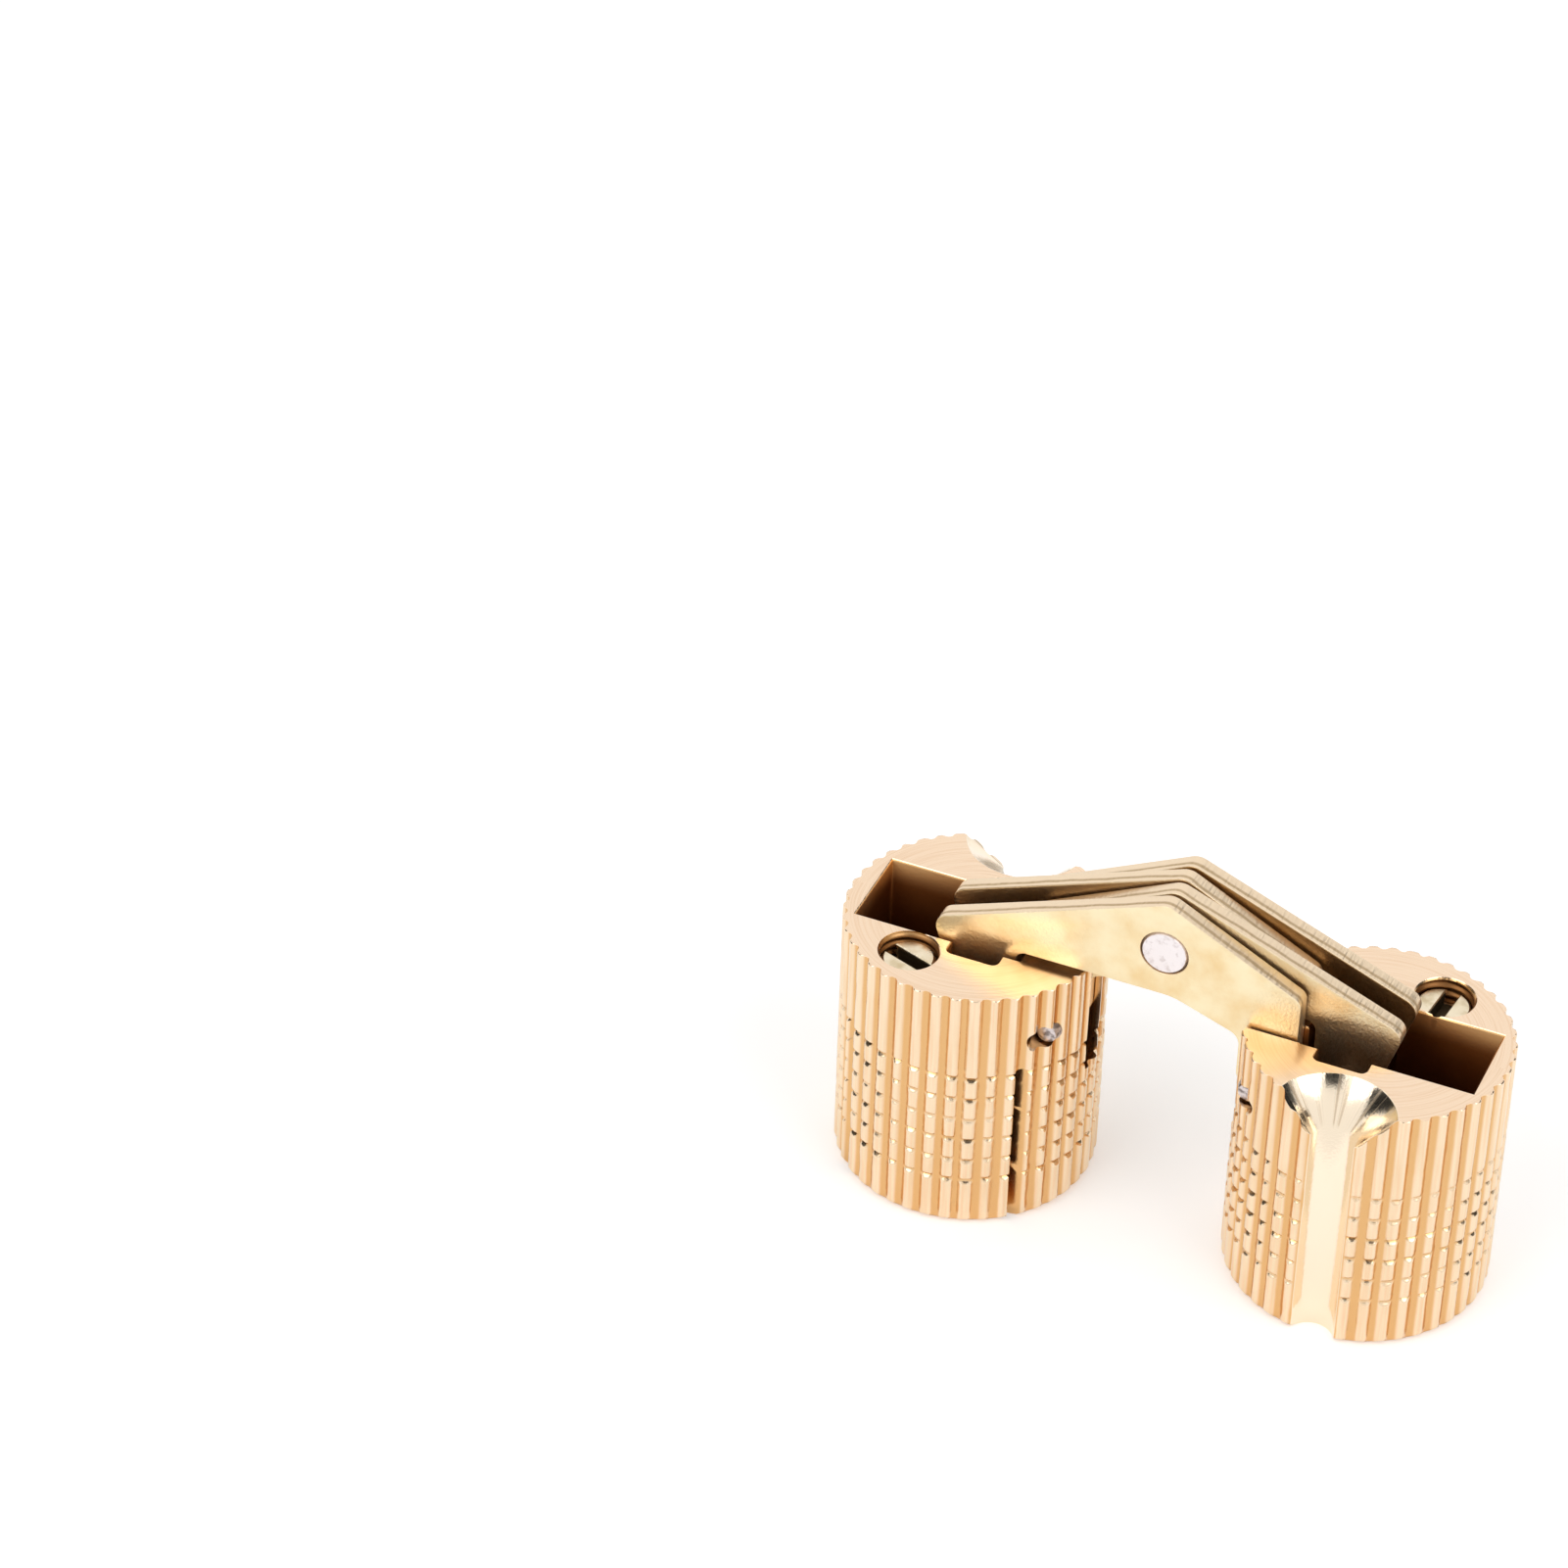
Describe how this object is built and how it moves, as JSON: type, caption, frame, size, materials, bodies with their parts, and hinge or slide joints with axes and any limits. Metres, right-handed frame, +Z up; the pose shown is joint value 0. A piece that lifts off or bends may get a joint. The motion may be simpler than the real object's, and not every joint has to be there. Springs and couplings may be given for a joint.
{
  "type": "invisible barrel hinge",
  "caption": "Brass invisible barrel hinge: knurled cylinders with expansion screws, joined by a folding stack of bent leaves on pins and a centre rivet.",
  "frame": {"origin": "midway between the two barrels, on the surface that their far ends stand on, hinge fully open", "axes": "+X from the left barrel to the right one, +Y along the pins away from the front leaf, +Z up along the barrel axes towards the leaves"},
  "size_m": [0.0358, 0.014, 0.021],
  "materials": {
    "barrel_brass": "bright turned and knurled brass",
    "leaf_brass": "bright stamped brass",
    "pin_steel": "plain steel wire, cut and peened",
    "screw_brass": "dull machined brass"
  },
  "bodies": {
    "left_barrel": {"left_barrel": "barrel_brass", "left_pivot_pin": "pin_steel"},
    "left_leaves": {"leaf_2": "leaf_brass", "leaf_4_back": "leaf_brass", "right_sliding_pin": "pin_steel"},
    "right_leaves": {"leaf_1_front": "leaf_brass", "leaf_3": "leaf_brass", "left_sliding_pin": "pin_steel", "centre_rivet": "pin_steel"},
    "right_barrel": {"right_barrel": "barrel_brass", "right_pivot_pin": "pin_steel"},
    "left_screw": {"left_expansion_screw": "screw_brass"},
    "right_screw": {"right_expansion_screw": "screw_brass"}
  },
  "joints": [
    {"name": "left_fold", "type": "hinge", "parent": "left_barrel", "child": "left_leaves", "pos_m": [-0.00545, 0, 0.0119], "axis": [0, -1, 0], "range_deg": [0, 108.37]},
    {"name": "rivet_turn", "type": "hinge", "parent": "left_leaves", "child": "right_leaves", "pos_m": [0, 0, 0.018], "axis": [0, -1, 0], "range_deg": [-36.75, 0]},
    {"name": "right_fold", "type": "hinge", "parent": "right_leaves", "child": "right_barrel", "pos_m": [0.00545, 0, 0.0119], "axis": [0, -1, 0], "range_deg": [0, 108.37]},
    {"name": "left_screw_turn", "type": "hinge", "parent": "left_barrel", "child": "left_screw", "pos_m": [-0.01299, -0.0041, 0.015], "axis": [0, 0, 1], "continuous": true},
    {"name": "right_screw_turn", "type": "hinge", "parent": "right_barrel", "child": "right_screw", "pos_m": [0.01299, 0.0041, 0.015], "axis": [0, 0, 1], "continuous": true}
  ],
  "couplings": [
    {"joint": "rivet_turn", "follows": "left_fold", "ratio": -0.33901},
    {"joint": "right_fold", "follows": "left_fold", "ratio": 1}
  ]
}
